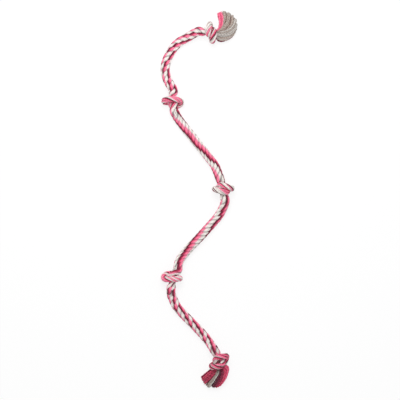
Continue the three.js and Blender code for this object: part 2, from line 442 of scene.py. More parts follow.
def above_floor(line: np.ndarray, radius: np.ndarray) -> np.ndarray:
    """Presses a tube's points softly up where it would reach through the floor.

    Args:
        line: The points down the tube's middle.
        radius: The tube's radius at each of them.

    Returns:
        The points as they lie on the floor.
    """
    lifted = line.copy()
    depth = lifted[..., 2] - radius
    eased = FLOOR_SOFTNESS * np.exp(np.minimum(depth / FLOOR_SOFTNESS - 1, 0))
    lifted[..., 2] = np.where(depth < FLOOR_SOFTNESS, eased, depth) + radius
    return lifted


def turned(point: np.ndarray, angle: float) -> np.ndarray:
    """Turns a point about the upright axis through the origin.

    Args:
        point: The point.
        angle: How far it turns, in radians.

    Returns:
        The turned point.
    """
    x, y, z = point
    cosine, sine = math.cos(angle), math.sin(angle)
    return np.array([x * cosine - y * sine, x * sine + y * cosine, z])


# The rope


@dataclass
class RopeLine:
    """The line of the whole rope, from the neck of the top tassel to that of the bottom one."""

    sizes: RopeSizes = field(default_factory=RopeSizes)

    def __post_init__(self) -> None:
        """Lays the line and works out what changes along it."""
        controls: list[np.ndarray] = []
        lead_controls: list[tuple[int, ...]] = []
        seen_controls: list[tuple[int, ...]] = []
        for i, knot in enumerate(KNOTS):
            start = len(controls)
            first_half = self._half_knot(knot, -1)[::-1]
            controls.extend([*first_half, *self._half_knot(knot, 1)[1:]])
            lead_controls.append((start, len(controls) - 1))
            band = start + len(first_half) - 1
            passes = (band - KNOT_PASS_POINT, band + KNOT_PASS_POINT)
            seen_controls.append((band,) if knot.face is Face.BAND else passes)
            if i < len(STRETCHES):
                controls.extend(self._stretch_controls(i))
        fine = catmull_rom(np.array(controls), self.sizes.points_per_span)
        fine_along = distances(fine)
        steps = round(fine_along[-1] / self.sizes.step)
        self.along = np.linspace(0, fine_along[-1], steps + 1)
        self.points = at_distances(fine, fine_along, self.along)
        _, self.across, self.side = untwisted_frames(self.points)
        control_along = fine_along[:: self.sizes.points_per_span]
        self.leads = self._nearest_points(control_along, lead_controls)
        self.seen = self._nearest_points(control_along, seen_controls)
        self.tight = sum(self._in_knot(i) for i in range(len(KNOTS)))
        self.radius = self._radii()
        self.up_angle = self._up_angles()
        self.lay_angle = self._lay_angles()
        LOG.info("the rope is %.3f m long", self.along[-1])

    def _nearest_points(
        self, control_along: np.ndarray, groups: list[tuple[int, ...]]
    ) -> list[tuple[int, ...]]:
        """Finds the rope's points that lie nearest to groups of its control points.

        Args:
            control_along: How far along the rope each control point is.
            groups: The control points' numbers, in groups.

        Returns:
            The numbers of the rope's points, in the same groups.
        """
        nearest = [int(np.abs(self.along - distance).argmin()) for distance in control_along]
        return [tuple(nearest[control] for control in group) for group in groups]

    def _half_knot(self, knot: Knot, side: int) -> list[np.ndarray]:
        """Places the points from the middle of a knot's band to the end of one lead.

        Args:
            knot: The knot.
            side: -1 for the half that the rope comes from, 1 for the other.

        Returns:
            The points.
        """
        face = knot.face.value
        spacing = KNOT_SPACING * KNOT_PULL_SHARE
        shares = np.array(KNOT_HALF_SHARES, dtype=float)
        shares[:KNOT_SLANT_POINTS, 0] *= for_side(knot.slant_shares, side)
        shares[KNOT_INNER_POINTS, 1] *= knot.inner_share
        shares *= (side * knot.length_share, side * face * knot.width_share, face)
        shares[:, 0] += knot.tip_share * shares[:, 2]
        limit = for_side(knot.leads, side) - KNOT_STRAIGHT_END
        local = [point for point in shares * spacing if side * point[0] < limit]
        lean = math.radians(for_side(knot.lean, side))
        local[-1] = turned(local[-1], lean)
        local[-1][2] += face * abs(lean) * LEAN_RISE_SHARE * spacing
        heading = math.radians(knot.heading)
        placed = [knot.middle() + turned(point, heading) for point in local]
        end = knot.lead_end(side)
        swing = math.radians(for_side(knot.swing, side))
        back = turned(knot.lead_direction(side), swing) * KNOT_STRAIGHT_END / 2
        return [*placed, end - back, end]

    def _stretch_controls(self, i: int) -> list[np.ndarray]:
        """Places a free stretch, which comes down from one knot and climbs to the next.

        Args:
            i: The stretch's number.

        Returns:
            Its points.
        """
        floor = self.sizes.floor_height
        points = STRETCHES[i].points
        heights = np.full(len(points), floor)
        heights[0] += (KNOT_HEIGHTS[KNOTS[i].face] - floor) / STRETCH_RISE_STEPS
        heights[-1] += (KNOT_HEIGHTS[KNOTS[i + 1].face] - floor) / STRETCH_RISE_STEPS
        return list(np.column_stack([points, heights]))

    def _in_knot(self, i: int) -> np.ndarray:
        """Finds how much of each point of the rope lies in one knot.

        Args:
            i: The knot's number.

        Returns:
            1 in its turns, 0 past its leads, and a smooth change between.
        """
        start, end = self.leads[i]
        inner, outer = self.sizes.knot_taper
        first = self.along[start] + KNOTS[i].leads[0]
        last = self.along[end] - KNOTS[i].leads[1]
        rise = smooth_share(self.along, first - outer, first - inner)
        fall = smooth_share(self.along, last + inner, last + outer)
        return rise * (1 - fall)

    def _radii(self) -> np.ndarray:
        """Works out the rope's radius: free, drawn tight in a knot, and at the tassels' necks.

        Returns:
            The radius at each point of the rope.
        """
        free = np.full(len(self.along), self.sizes.diameter / 2)
        before = self.along < self.along[self.leads[0][1] // 2]
        after = self.along > self.along[sum(self.leads[-1]) // 2]
        free[before | after] = self.sizes.neck_diameter / 2
        return free + (self.sizes.knot_diameter / 2 - free) * self.tight

    def _up_angles(self) -> np.ndarray:
        """Finds where up is round the rope. In a knot, where it has no meaning, it goes over smoothly.

        Returns:
            The angle at each point of the rope.
        """
        angles = np.arctan2(self.side[:, 2], self.across[:, 2])
        result = np.zeros(len(self.along))
        previous = 0.0
        for (knot_start, knot_end), (next_start, _) in zip(self.leads, self.leads[1:]):
            result[knot_start] = previous
            span = slice(knot_end, next_start + 1)
            piece = np.unwrap(angles[span])
            result[span] = piece + (nearest_turn(piece[0], previous) - piece[0])
            previous = result[next_start]
            self._fill(result, knot_start, knot_end)
        result[: self.leads[0][1]] = result[self.leads[0][1]]
        result[self.leads[-1][0] :] = previous
        return result

    def _fill(self, values: np.ndarray, start: int, end: int) -> None:
        """Goes over smoothly from the value at one point of the rope to that at another."""
        share = smooth_share(self.along[start : end + 1], self.along[start], self.along[end])
        values[start : end + 1] = values[start] + (values[end] - values[start]) * share

    def _lay_angles(self) -> np.ndarray:
        """Works out how far the strands have turned, with the stitches where they are seen.

        Returns:
            The angle at each point of the rope.
        """
        rate = TURN * ((1 - self.tight) / self.sizes.lay + self.tight / self.sizes.knot_lay)
        angle = np.concatenate([[0], np.cumsum(rate[1:] * np.diff(self.along))])
        for stretch, (start, end) in zip(STRETCHES, self.leads):
            wanted = self.up_angle[end] - TURN * stretch.first_stitch
            shift = nearest_turn(wanted, angle[end]) - angle[end]
            angle += shift * smooth_share(self.along, self.along[start], self.along[end])
        return angle

    def colour_angles(self, strand: int) -> np.ndarray:
        """Finds which part of a strand's ring of dyes faces away from the rope's middle.

        Args:
            strand: The strand's number.

        Returns:
            The angle at each point of the rope. In the knots the yarns hardly turn.
        """
        round_rope = self.strand_angle(strand) - self.up_angle
        borders = self.along[[group[0] for group in self.seen[1:-1]]]
        ease = np.array([stretch.yarn_ease for stretch in STRETCHES])
        ease = ease[np.searchsorted(borders, self.along)]
        full = self.sizes.yarn_turns * round_rope - ease * np.sin(round_rope)
        calm = np.concatenate([[0], np.cumsum(np.diff(full) * (1 - self.tight[1:]))])
        stations: list[float] = []
        turns: list[float] = []
        for i, knot in enumerate(KNOTS):
            for place, row in zip(self.seen[i], knot.colour_turns, strict=True):
                wanted = row[strand] - calm[place] / TURN
                near = turns[-1] if turns else wanted
                stations.append(self.along[place])
                turns.append(wanted + round(near - wanted))
            if i < len(STRETCHES):
                first, last = self.leads[i][1], self.leads[i + 1][0]
                rows = STRETCHES[i].colour_turns
                # The turns that the calm knots before this stretch have left out
                missed = (full[first] - calm[first]) / TURN
                missed += round(turns[-1] - missed - rows[0][strand])
                stations.extend(np.linspace(self.along[first], self.along[last], len(rows)))
                turns.extend(row[strand] + missed for row in rows)
        return calm + TURN * np.interp(self.along, stations, turns)

    def strand_angle(self, strand: int) -> np.ndarray:
        """How far one strand has turned round the rope."""
        return self.lay_angle - TURN * strand / self.sizes.strands


@dataclass
class Strands:
    """The four strands, pressed against each other in the knots until they lie side by side."""

    rope: RopeLine
    rounds: int = 140
    contact_share: float = 0.93
    same_strand_share: float = 1.5
    easing_share: float = 0.35
    smoothing_share: float = 0.3
    lift_share: float = 0.5
    lead_held: float = 0.006
    lead_free: float = 0.03

    def __post_init__(self) -> None:
        """Lays the strands and settles them in each knot."""
        sizes = self.rope.sizes
        packing = 1 + 1 / math.sin(math.pi / sizes.strands)
        self.radius = self.rope.radius / packing * sizes.strand_share
        self.depth = self.radius * sizes.flat_share
        self.half_width = np.sqrt((self.rope.radius - self.depth) ** 2 - self.depth**2)
        self.half_width *= sizes.strand_share
        self.outward = np.zeros((sizes.strands, len(self.rope.along), 3))
        for k in range(sizes.strands):
            angle = self.rope.strand_angle(k)[:, None]
            self.outward[k] = np.cos(angle) * self.rope.across + np.sin(angle) * self.rope.side
        reach = self.rope.radius - self.radius
        self.lines = self.rope.points + reach[:, None] * self.outward
        for start, end in self.rope.leads:
            self._settle(slice(start, end + 1))
        self.lines += (self.radius - self.depth)[:, None] * self.outward
        self.lines = above_floor(self.lines, self.depth)

    def _settle(self, span: slice) -> None:
        """Pushes strands apart where they meet in a knot, and leaves the ends of its leads.

        Args:
            span: The knot's points.
        """
        rest = self.lines[:, span].copy()
        count = rest.shape[1]
        radius = np.tile(self.radius[span], len(rest))
        strand = np.repeat(np.arange(len(rest)), count)
        number = np.tile(np.arange(count), len(rest))
        apart = np.abs(number[:, None] - number[None]) * self.rope.sizes.step
        reach = (radius[:, None] + radius[None]) * self.contact_share
        same = (strand[:, None] == strand[None]) & (apart < self.same_strand_share * reach)
        ends = np.minimum(number, count - 1 - number) * self.rope.sizes.step
        free = smooth_share(ends, self.lead_held, self.lead_free)[:, None]
        moved = np.zeros((len(rest) * count, 3))
        base = rest.reshape(-1, 3)
        for _ in range(self.rounds):
            points = base + moved
            gaps = points[:, None] - points[None]
            far = np.linalg.norm(gaps, axis=2)
            push = np.where(same | (far >= reach), 0, reach - far) / np.maximum(far, TINY)
            shove = (push[..., None] * gaps).sum(axis=1)
            touching = np.maximum((push > 0).sum(axis=1), 1)[:, None] ** 0.5
            moved += self.easing_share * shove / touching
            sunk = np.maximum(radius - (base + moved)[:, 2], 0)
            moved[:, 2] += sunk * self.lift_share
            grid = moved.reshape(len(rest), count, 3)
            ease = self.smoothing_share * (grid[:, :-2] + grid[:, 2:] - 2 * grid[:, 1:-1]) / 2
            grid[:, 1:-1] += ease
            moved = grid.reshape(-1, 3) * free
        self.lines[:, span] = (base + moved).reshape(rest.shape)


@dataclass(frozen=True)
class Yarn:
    """One yarn, or one ply of one.

    It has the points down its middle with its radius and its depth at each, from 0 to 1: how far it
    lies in a groove between strands, or deep in a tassel's lock or near its neck, which the material
    paints as shade. Its tone is how much lighter or darker than its dye it is, from -1 to 1.
    """

    line: np.ndarray
    radius: np.ndarray
    depth: np.ndarray
    dye: Dye
    tone: float


@dataclass
class Tubes:
    """A bundle of yarns that becomes one mesh of round tubes, with what its material reads."""

    name: str
    resolution: int
    tip: float = 0.0002
    yarns: list[Yarn] = field(default_factory=list)

    @property
    def ring(self) -> int:
        """How many points a bevelled curve of this resolution has round it."""
        return 4 + 2 * self.resolution

    def add(self, yarn: Yarn) -> None:
        """Adds one yarn, with a short tip that closes it at both ends.

        Args:
            yarn: The yarn.
        """
        line, depth = yarn.line, yarn.depth
        start = line[:1] + self.tip * unit(line[:1] - line[1:2])
        end = line[-1:] + self.tip * unit(line[-1:] - line[-2:-1])
        tipped = replace(
            yarn,
            line=np.vstack([start, line, end]),
            radius=np.concatenate([[0], yarn.radius, [0]]),
            depth=np.concatenate([depth[:1], depth, depth[-1:]]),
        )
        self.yarns.append(tipped)

    def build(self) -> bpy.types.Object:
        """Makes the mesh.

        Returns:
            The object that holds it, at the origin.
        """
        curve = bpy.data.curves.new(self.name, "CURVE")
        curve.dimensions = "3D"
        curve.bevel_depth = 1.0
        curve.bevel_resolution = self.resolution
        for yarn in self.yarns:
            spline = curve.splines.new("POLY")
            spline.points.add(len(yarn.line) - 1)
            corners = np.hstack([yarn.line, np.ones((len(yarn.line), 1))])
            spline.points.foreach_set("co", corners.ravel())
            spline.points.foreach_set("radius", yarn.radius)
        holder = bpy.data.objects.new(self.name, curve)
        mesh = bpy.data.meshes.new_from_object(holder)
        bpy.data.objects.remove(holder)
        bpy.data.curves.remove(curve)
        self._dress(mesh)
        self._close(mesh)
        mesh.name = self.name
        piece = bpy.data.objects.new(self.name, mesh)
        bpy.context.scene.collection.objects.link(piece)
        LOG.info("%s: %d faces", piece.name, len(mesh.polygons))
        return piece

    def _dress(self, mesh: bpy.types.Mesh) -> None:
        """Writes each yarn's dye, tone and depth (which the material paints as shade), and the place
        on its surface, for its material.

        Args:
            mesh: The mesh, with a ring of points for each point of each yarn.
        """
        ring = self.ring
        around = TURN * np.arange(ring) / ring
        dyes, tones, places = [], [], []
        for yarn in self.yarns:
            count = len(yarn.line)
            dyes.append(np.full(count * ring, (DYES.index(yarn.dye) + 0.5) / len(DYES)))
            tones.append(np.full(count * ring, yarn.tone))
            angle = np.tile(around, count)
            along = np.repeat(distances(yarn.line), ring)
            places.append(np.stack([np.cos(angle), np.sin(angle), along], axis=1))
        depths = np.repeat(np.concatenate([yarn.depth for yarn in self.yarns]), ring)
        write_attribute(mesh, "dye", "FLOAT", "value", np.concatenate(dyes))
        write_attribute(mesh, "tone", "FLOAT", "value", np.concatenate(tones))
        # depth is painted shade: the material darkens the colour by it.
        write_attribute(mesh, "depth", "FLOAT", "value", depths)
        write_attribute(mesh, "place", "FLOAT_VECTOR", "vector", np.concatenate(places).ravel())

    def _close(self, mesh: bpy.types.Mesh) -> None:
        """Merges each end's ring into one point, and smooths the faces.

        Args:
            mesh: The mesh.
        """
        work = bmesh.new()
        work.from_mesh(mesh)
        bmesh.ops.remove_doubles(work, verts=work.verts, dist=TINY)
        bmesh.ops.dissolve_degenerate(work, edges=work.edges, dist=TINY)
        bmesh.ops.recalc_face_normals(work, faces=work.faces)
        for face in work.faces:
            face.smooth = True
        work.to_mesh(mesh)
        work.free()


def write_attribute(
    mesh: bpy.types.Mesh, name: str, kind: str, field_name: str, values: np.ndarray
) -> None:
    """Gives each point of a mesh a value under a name."""
    attribute = mesh.attributes.new(name, kind, "POINT")
    attribute.data.foreach_set(field_name, values.astype(np.float32))


@dataclass
class Rope:
    """The rope's yarns: those of the five knots and of the four free stretches."""

    line: RopeLine
    strands: Strands
    seed: int = 7
    radial_wander: float = 0.00028
    radial_wavelength: float = 0.05
    angle_wander: float = 0.10
    angle_wavelength: float = 0.09
    size_spread_share: float = 0.05
    tone_spread: float = 0.8
    # Painted shade: yarns that face into the grooves between strands are darkened over this span of
    # the cosine of their angle, less so in the knots.
    painted_shade_span: Point2 = (0.2, 1.0)
    knot_painted_shade_share: float = 0.3
    overlap_share: float = 0.9

    def __post_init__(self) -> None:
        """Lays every yarn from one end of the rope to the other."""
        rng = np.random.default_rng(self.seed)
        self.yarns: list[Yarn] = []
        for strand in range(self.line.sizes.strands):
            self.yarns.extend(self._lay_strand(strand, rng))

    def _lay_strand(self, strand: int, rng: np.random.Generator) -> list[Yarn]:
        """Lays the outer yarns of one strand.

        Args:
            strand: The strand's number.
            rng: The source of chance.

        Returns:
            The yarns.
        """
        line = self.strands.lines[strand]
        half_depth, half_width = self.strands.depth, self.strands.half_width
        forward = tangents(line)
        outward = self.strands.outward[strand]
        outward = unit(outward - (outward * forward).sum(axis=1, keepdims=True) * forward)
        side = np.cross(forward, outward)
        colour = self.line.colour_angles(strand)
        count = len(STRAND_DYES)
        along = self.line.along
        radial = wander(rng, count, along, self.radial_wavelength, self.radial_wander)
        sway = wander(rng, count, along, self.angle_wavelength, self.angle_wander)
        flatness = float(half_width[0] / half_depth[0])
        # The painted shade in the grooves is weaker in the knots.
        groove = 1 - (1 - self.knot_painted_shade_share) * self.line.tight
        yarns = []
        for j, dye in enumerate(STRAND_DYES):
            angle = even_on_ellipse((j + 0.5) / count - (colour - sway[j]) / TURN, flatness)
            spread = 1 + self.size_spread_share * rng.uniform(-1, 1)
            radius = self.strands.radius * self.line.sizes.yarn_share * spread
            out = (half_depth - radius + radial[j]) * np.cos(angle)
            over = (half_width - radius + radial[j]) * np.sin(angle)
            yarn = above_floor(line + out[:, None] * outward + over[:, None] * side, radius)
            # Painted shade in the grooves between strands: 0 on a strand's crown, 1 at its sides.
            depth = (1 - smooth_share(np.cos(angle), *self.painted_shade_span)) * groove
            tone = self.tone_spread * rng.uniform(-1, 1)
            yarns.append(Yarn(yarn, radius, depth, dye, tone))
        return yarns

    def _piece(self, name: str, start: int, end: int, overlap: int = 0) -> bpy.types.Object:
        """Makes the yarns of one length of the rope.

        Args:
            name: The piece's name.
            start: The number of its first point.
            end: The number of its last point.
            overlap: How many points it reaches into what it joins, a little thinner there.

        Returns:
            The piece.
        """
        first = max(start - overlap, 0)
        last = min(end + overlap, len(self.line.along) - 1)
        inside = np.arange(first, last + 1)
        thickness = np.where((inside < start) | (inside > end), self.overlap_share, 1.0)
        cut = slice(first, last + 1)
        tubes = Tubes(name, self.line.sizes.yarn_resolution)
        for yarn in self.yarns:
            radius = yarn.radius[cut] * thickness
            tubes.add(replace(yarn, line=yarn.line[cut], radius=radius, depth=yarn.depth[cut]))
        return tubes.build()

    def build(self, finish: YarnFinish) -> None:
        """Makes the knots, which are joined to the frame, and the free stretches.

        Args:
            finish: The finish of the yarns.
        """
        material = finish.material("rope_yarn")
        leads = self.line.leads
        knots = [self._build_knot(knot, leads[i], material) for i, knot in enumerate(KNOTS)]
        for i, stretch in enumerate(STRETCHES):
            self._build_stretch(stretch, (leads[i][1], leads[i + 1][0]), material)

    def _build_knot(
        self, knot: Knot, ends: tuple[int, int], material: bpy.types.Material
    ) -> bpy.types.Object:
        """Makes one knot, which rides on its own body.

        Args:
            knot: The knot.
            ends: The numbers of its first and last points.
            material: The yarns' material.

        Returns:
            The knot's piece.
        """
        piece = self._piece(f"{knot.name}_knot_yarns", *ends, self.line.sizes.joint_overlap)
        piece.data.materials.append(material)
        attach(piece, knot.body)
        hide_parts(f"{knot.name}_knot")
        return piece

    def _build_stretch(
        self,
        stretch: Stretch,
        ends: tuple[int, int],
        material: bpy.types.Material,
    ) -> None:
        """Makes one free stretch.

        Args:
            stretch: The stretch.
            ends: The numbers of its first and last points.
            material: The yarns' material.
        """
        piece = self._piece(f"{stretch.name}_yarns", *ends)
        piece.data.materials.append(material)
        path = self.line.points[ends[0] : ends[1] + 1]
        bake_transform(piece)
        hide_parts(*stretch.nodes)


# The tassels

# Shares of the way along a lock, and of the full size there
SWELL_SHARES = ((0, 0.2, 0.6, 1), (0.8, 0.95, 1.0, 0.85))
PLY_SHARES = ((0, 0.1, 0.9, 1), (0.8, 1, 1, 0.7))
OPENING_SHARES = (0.7, 1.0)
GOLDEN_SHARE = 0.618
CORE_SHARE = 0.4
LAST_GUIDE_SHARE = 0.999


@dataclass(frozen=True)
class Lock:
    """One lock of a tassel: its place in the fan, its layer, its dyes and how long it is."""

    fan: float
    layer: float
    dyes: tuple[Dye, ...]
    length_share: float = 1.0


@dataclass
class Tassel:
    """The frayed end of the rope: locks of yarn that fan out from the neck and curl to one side."""

    name: str
    node: str
    slot: str
    bodies: tuple[str, str]
    neck: tuple[float, float, float]
    heading: float
    guides: tuple[tuple[Point2, ...], ...]
    locks: tuple[Lock, ...]
    seed: int
    yarns_per_lock: int = 12
    ply_resolution: int = 1
    ply_radius: float = 0.00125
    ply_offset: float = 0.00085
    ply_pitch: float = 0.024
    ply_tone: float = 0.2
    ply_opening_share: float = 0.9
    step: float = 0.0026
    points_per_span: int = 16
    lock_radius: float = 0.0068
    low_height: float = 0.007
    neck_height: float = 0.031
    neck_spread: float = 0.006
    high_height: float = 0.036
    tip_height: float = 0.017
    rise_share: float = 0.3
    swirl: float = 1.6
    sway: float = 0.0006
    sway_wavelength: float = 0.05
    cut_share: float = 0.06
    # Painted shade: yarns deep inside a lock and near the neck are darkened by these shares.
    buried_shade_share: float = 0.5
    neck_shade_share: float = 0.2
    neck_shade_end_share: float = 0.45
    blend_before: float = 0.010
    blend_after: float = 0.025

    def _lock_line(self, lock: Lock) -> np.ndarray:
        """Runs the line down the middle of a lock, from inside the neck to its tip.

        Args:
            lock: The lock, which lies between the two guides nearest to its place in the fan.

        Returns:
            The line's points.
        """
        guides = np.array(self.guides)
        place = min(lock.fan, len(guides) - 2 + LAST_GUIDE_SHARE)
        number = int(place)
        plan = guides[number] + (guides[number + 1] - guides[number]) * (place - number)
        share = np.linspace(0, 1, len(plan))
        places = (0, self.rise_share, 1)
        lows = (self.neck_height - self.neck_spread, self.low_height, self.low_height)
        highs = (self.neck_height + self.neck_spread, self.high_height, self.tip_height)
        low = np.interp(share, places, lows)
        high = np.interp(share, places, highs)
        height = low + (high - low) * lock.layer
        line = catmull_rom(np.column_stack([plan, height]), self.points_per_span)
        along = distances(line)
        length = along[-1] * lock.length_share
        return at_distances(line, along, np.linspace(0, length, int(length / self.step) + 1))

    def build(self, finish: YarnFinish) -> None:
        """Makes the tassel's yarns.

        Args:
            finish: The finish of its yarns.
        """
        rng = np.random.default_rng(self.seed)
        tubes = Tubes(self.name, self.ply_resolution)
        for lock in self.locks:
            self._add_lock(tubes, lock, rng)
        piece = tubes.build()
        piece.data.materials.append(finish.material(f"{self.name}_yarn"))
        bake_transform(piece)
        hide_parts(self.node)

    def _add_lock(self, tubes: Tubes, lock: Lock, rng: np.random.Generator) -> None:
        """Adds the yarns of one lock.

        Args:
            tubes: What they are added to.
            lock: The lock.
            rng: The source of chance.
        """
        line = self._lock_line(lock)
        along = distances(line)
        share = along / along[-1]
        _, across, side = untwisted_frames(line)
        swell = self.lock_radius * np.interp(share, *SWELL_SHARES)
        swirl = rng.uniform(-self.swirl, self.swirl)
        sway = wander(rng, self.yarns_per_lock * 2, along, self.sway_wavelength, self.sway)
        for number in range(self.yarns_per_lock):
            angle = TURN * (GOLDEN_SHARE * number) + swirl * share
            reach_share = math.sqrt((number + CORE_SHARE) / self.yarns_per_lock)
            reach = swell * reach_share
            offset_across = (reach * np.cos(angle) + sway[2 * number])[:, None]
            offset_side = (reach * np.sin(angle) + sway[2 * number + 1])[:, None]
            yarn = line + offset_across * across + offset_side * side
            cut = len(line) - int(rng.uniform(0, self.cut_share) * len(line))
            dye = lock.dyes[int(rng.integers(len(lock.dyes)))]
            self._add_plies(tubes, yarn[:cut], share[:cut], dye, 1 - reach_share, rng)

    def _add_plies(
        self,
        tubes: Tubes,
        yarn: np.ndarray,
        share: np.ndarray,
        dye: Dye,
        buried: float,
        rng: np.random.Generator,
    ) -> None:
        """Adds the two plies of one yarn, which come apart at its tip.

        Args:
            tubes: What they are added to.
            yarn: The points down the yarn's middle.
            share: How far along the lock each of them is, from 0 to 1.
            dye: The yarn's dye.
            buried: How deep in its lock the yarn lies, from 0 to 1.
            rng: The source of chance.
        """
        along = distances(yarn)
        _, across, side = untwisted_frames(yarn)
        start = rng.uniform(0, TURN)
        tone = rng.uniform(-1, 1)
        opening = 1 + self.ply_opening_share * smooth_share(share, *OPENING_SHARES)
        reach = (self.ply_offset * opening)[:, None]
        # Painted shade: darker deep in the lock and near the neck.
        radius = self.ply_radius * np.interp(share, *PLY_SHARES)
        base = 1 - smooth_share(share, 0, self.neck_shade_end_share)
        depth = self.buried_shade_share * buried + self.neck_shade_share * base
        for ply in range(2):
            angle = start + TURN * (along / self.ply_pitch + ply / 2)
            line = yarn + reach * (np.cos(angle)[:, None] * across + np.sin(angle)[:, None] * side)
            tubes.add(Yarn(above_floor(line, radius), radius, depth, dye, tone + self.ply_tone * ply))


TOP_TASSEL = Tassel(
    name="top_tassel_yarns",
    node="top_tassel",
    slot="top_tassel_yarn",
    bodies=("top_end_part", "top_tassel_part"),
    neck=(0.08778, 0.66382, 0.03182),
    heading=-6,
    guides=(
        ((0.072, 0.672), (0.083, 0.686), (0.086, 0.706), (0.084, 0.728), (0.079, 0.750)),
        ((0.071, 0.670), (0.090, 0.686), (0.101, 0.710), (0.104, 0.738), (0.100, 0.756)),
        ((0.070, 0.668), (0.096, 0.678), (0.117, 0.697), (0.128, 0.722), (0.127, 0.746)),
        ((0.070, 0.664), (0.098, 0.667), (0.124, 0.679), (0.140, 0.702), (0.145, 0.724)),
        ((0.070, 0.660), (0.094, 0.656), (0.121, 0.660), (0.142, 0.679), (0.150, 0.700)),
        ((0.070, 0.656), (0.083, 0.648), (0.108, 0.647), (0.130, 0.660), (0.144, 0.680)),
        ((0.071, 0.651), (0.078, 0.643), (0.094, 0.641), (0.114, 0.647), (0.136, 0.664)),
    ),
    locks=(
        Lock(0.0, 0.3, (Dye.PINK, Dye.ROSE)),
        Lock(0.35, 0.9, (Dye.PINK, Dye.ROSE, Dye.PINK)),
        Lock(0.9, 0.1, (Dye.BEIGE,)),
        Lock(1.0, 0.8, (Dye.BEIGE, Dye.BROWN)),
        Lock(1.6, 1.0, (Dye.BEIGE,)),
        Lock(1.8, 0.2, (Dye.BEIGE, Dye.ASH)),
        Lock(2.3, 0.9, (Dye.BEIGE, Dye.BEIGE, Dye.BROWN)),
        Lock(2.7, 0.1, (Dye.BEIGE,)),
        Lock(3.0, 1.0, (Dye.BEIGE, Dye.ASH)),
        Lock(3.6, 0.3, (Dye.BEIGE, Dye.ASH)),
        Lock(3.8, 0.95, (Dye.BEIGE, Dye.ASH)),
        Lock(4.5, 0.7, (Dye.BEIGE, Dye.ASH)),
        Lock(4.6, 0.1, (Dye.BEIGE, Dye.CHARCOAL)),
        Lock(5.5, 0.75, (Dye.BEIGE, Dye.ASH)),
        Lock(6.0, 0.2, (Dye.MAROON, Dye.CRIMSON)),
    ),
    seed=21,
)

BOTTOM_TASSEL = Tassel(
    name="bottom_tassel_yarns",
    node="bottom_tassel",
    slot="bottom_tassel_yarn",
    bodies=("bottom_end_part", "bottom_tassel_part"),
    neck=(0.080, -0.689, 0.03182),
    heading=-90,
    guides=(
        ((0.076, -0.660), (0.058, -0.674), (0.038, -0.691), (0.023, -0.703), (0.010, -0.713)),
        ((0.077, -0.662), (0.062, -0.686), (0.044, -0.706), (0.030, -0.720), (0.018, -0.732)),
        ((0.079, -0.663), (0.072, -0.692), (0.059, -0.714), (0.046, -0.734), (0.037, -0.749)),
        ((0.082, -0.663), (0.085, -0.692), (0.075, -0.714), (0.063, -0.734), (0.054, -0.749)),
        ((0.087, -0.662), (0.100, -0.686), (0.095, -0.711), (0.083, -0.733), (0.070, -0.749)),
        ((0.092, -0.660), (0.112, -0.670), (0.110, -0.695), (0.099, -0.719), (0.083, -0.740)),
    ),
    locks=(
        Lock(0.0, 0.3, (Dye.CRIMSON, Dye.MAROON)),
        Lock(0.4, 0.9, (Dye.CRIMSON, Dye.ROSE, Dye.MAROON)),
        Lock(0.8, 0.2, (Dye.CRIMSON,)),
        Lock(1.1, 0.9, (Dye.CRIMSON, Dye.MAROON, Dye.BROWN)),
        Lock(1.7, 0.3, (Dye.BEIGE, Dye.BROWN)),
        Lock(2.0, 0.9, (Dye.BEIGE, Dye.ASH)),
        Lock(2.98, 0.3, (Dye.WINE, Dye.CHARCOAL)),
        Lock(3.1, 0.9, (Dye.WINE, Dye.CHARCOAL, Dye.MAROON)),
        Lock(3.7, 0.3, (Dye.MAROON, Dye.CRIMSON)),
        Lock(3.9, 0.95, (Dye.CRIMSON, Dye.MAROON)),
        Lock(4.5, 0.4, (Dye.CRIMSON, Dye.ROSE)),
        Lock(4.7, 0.95, (Dye.ROSE, Dye.CRIMSON)),
        Lock(5.0, 0.3, (Dye.CRIMSON, Dye.ROSE)),
    ),
    seed=22,
)


# Finishes


class Socket:
    """An output of a shader node, which can be used in sums."""

    def __init__(self, graph: Graph, socket: bpy.types.NodeSocket | None) -> None:
        """Keeps the graph and the output."""
        self.graph = graph
        self.socket = socket

    def _math(self, operation: str, *values: Socket | float) -> Socket:
        """Puts a Math node on these values."""
        inputs = dict(enumerate(values))
        return self.graph.node("ShaderNodeMath", {"operation": operation}, inputs, "Value")

    def __add__(self, other: Socket | float) -> Socket:
        """This plus another value."""
        return self._math("ADD", self, other)

    __radd__ = __add__

    def __mul__(self, other: Socket | float) -> Socket:
        """This times another value."""
        return self._math("MULTIPLY", self, other)

    __rmul__ = __mul__

    def __sub__(self, other: Socket | float) -> Socket:
        """This less another value."""
        return self._math("SUBTRACT", self, other)

    def __rsub__(self, other: float) -> Socket:
        """A number less this."""
        return self._math("SUBTRACT", other, self)

    def __abs__(self) -> Socket:
        """This without its sign."""
        return self._math("ABSOLUTE", self)

    def __pow__(self, power: float) -> Socket:
        """This to a power."""
        return self._math("POWER", self, power)

    def sine(self) -> Socket:
        """The sine of this."""
        return self._math("SINE", self)

    def cosine(self) -> Socket:
        """The cosine of this."""
        return self._math("COSINE", self)


